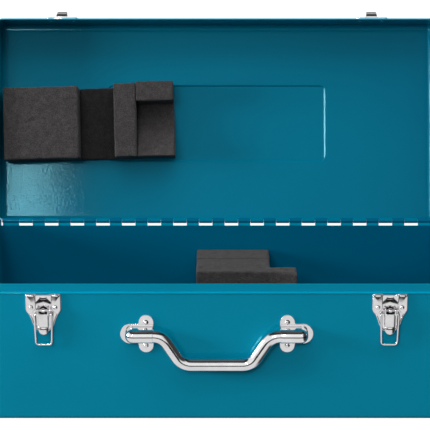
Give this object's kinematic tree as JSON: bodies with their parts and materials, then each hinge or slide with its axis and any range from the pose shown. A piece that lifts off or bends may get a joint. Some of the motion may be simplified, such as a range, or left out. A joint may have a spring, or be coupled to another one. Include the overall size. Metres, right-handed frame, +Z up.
{
  "type": "tool box",
  "caption": "Steel carrying case with a hinged lid, draw latches with wire loops, a swinging tube handle and foam packing; stored open.",
  "frame": {"origin": "middle of the base's underside, between the walls", "axes": "+X to the right along the case's long side, +Y to the back, towards the hinge, +Z up"},
  "size_m": [0.491, 0.36, 0.359],
  "materials": {
    "case_paint": "gloss with a light orange peel",
    "chrome": "polished",
    "plated_steel": "satin zinc plate",
    "foam": "matt open-cell foam"
  },
  "bodies": {
    "base": {"base_shell": "case_paint", "hinge_pin": "plated_steel", "left_latch_plate": "chrome", "right_latch_plate": "chrome", "left_latch_pin": "plated_steel", "right_latch_pin": "plated_steel", "left_latch_rivets": "chrome", "right_latch_rivets": "chrome", "left_handle_bracket": "chrome", "right_handle_bracket": "chrome", "left_handle_rivets": "chrome", "right_handle_rivets": "chrome", "base_foam_rear": "foam", "base_foam_front": "foam"},
    "lid": {"lid_shell": "case_paint", "left_catch": "chrome", "right_catch": "chrome", "left_catch_rivets": "chrome", "right_catch_rivets": "chrome", "lid_foam_block": "foam", "lid_foam_bridge": "foam", "lid_foam_pad": "foam", "lid_foam_cradle": "foam"},
    "left_lever": {"left_latch_lever": "chrome"},
    "right_lever": {"right_latch_lever": "chrome"},
    "left_loop": {"left_wire_loop": "chrome"},
    "right_loop": {"right_wire_loop": "chrome"},
    "handle": {"carry_handle": "chrome"}
  },
  "joints": [
    {"name": "lid_hinge", "type": "hinge", "parent": "base", "child": "lid", "pos_m": [0, 0.1136, 0.1415], "axis": [-1, 0, 0], "range_deg": [-110, 0]},
    {"name": "left_lever_pivot", "type": "hinge", "parent": "base", "child": "left_lever", "pos_m": [-0.173, -0.117, 0.1195], "axis": [-1, 0, 0], "range_deg": [0, 150]},
    {"name": "right_lever_pivot", "type": "hinge", "parent": "base", "child": "right_lever", "pos_m": [0.173, -0.117, 0.1195], "axis": [-1, 0, 0], "range_deg": [0, 150]},
    {"name": "left_loop_pivot", "type": "hinge", "parent": "left_lever", "child": "left_loop", "pos_m": [-0.173, -0.116, 0.1152], "axis": [1, 0, 0], "range_deg": [-180, 0]},
    {"name": "right_loop_pivot", "type": "hinge", "parent": "right_lever", "child": "right_loop", "pos_m": [0.173, -0.116, 0.1152], "axis": [1, 0, 0], "range_deg": [-180, 0]},
    {"name": "handle_pivot", "type": "hinge", "parent": "base", "child": "handle", "pos_m": [0, -0.1196, 0.0933], "axis": [-1, 0, 0], "range_deg": [0, 180]}
  ]
}
